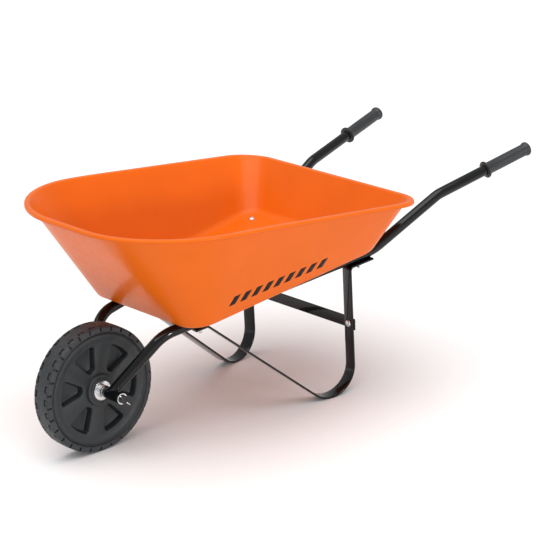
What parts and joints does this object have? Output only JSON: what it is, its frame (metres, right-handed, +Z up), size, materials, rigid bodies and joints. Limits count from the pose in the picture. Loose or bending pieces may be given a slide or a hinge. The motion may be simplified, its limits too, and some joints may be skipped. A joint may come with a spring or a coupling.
{
  "type": "wheelbarrow",
  "caption": "Child-size garden wheelbarrow with a pressed orange steel tray, bent black tube frame, strap legs and a spoked solid wheel",
  "frame": {"origin": "on the ground, under the middle of the overall length, in the middle plane", "axes": "+X forward towards the wheel, +Y to the user's left, +Z up"},
  "size_m": [1.1315, 0.544, 0.4673],
  "materials": {
    "tray_paint": "orange powder coat, satin gloss",
    "frame_paint": "gloss black enamel",
    "wheel_plastic": "moulded black, satin",
    "tyre_rubber": "matte black rubber",
    "grip_rubber": "matte, fine grain",
    "plated_steel": "bright zinc plate"
  },
  "bodies": {
    "frame": {"tray": "tray_paint", "frame_tube_left": "frame_paint", "frame_tube_right": "frame_paint", "axle_sleeve_left": "frame_paint", "axle_sleeve_right": "frame_paint", "axle": "plated_steel", "axle_washer_left": "plated_steel", "axle_washer_right": "plated_steel", "axle_spacer_left": "plated_steel", "axle_spacer_right": "plated_steel", "cotter_pin_left": "plated_steel", "cotter_pin_right": "plated_steel", "leg_left": "frame_paint", "leg_right": "frame_paint", "leg_brace": "frame_paint", "tray_bolts": "plated_steel", "tray_bolt_washers": "plated_steel", "tray_bolt_nuts": "plated_steel", "brace_bolts": "plated_steel", "brace_bolt_washers": "plated_steel", "brace_bolt_nuts": "plated_steel", "grip_left": "grip_rubber", "grip_right": "grip_rubber"},
    "wheel": {"wheel_disc": "wheel_plastic", "tyre": "tyre_rubber"}
  },
  "joints": [
    {"name": "wheel_spin", "type": "hinge", "parent": "frame", "child": "wheel", "pos_m": [0.4385, 0, 0.127], "axis": [0, 1, 0], "continuous": true}
  ]
}
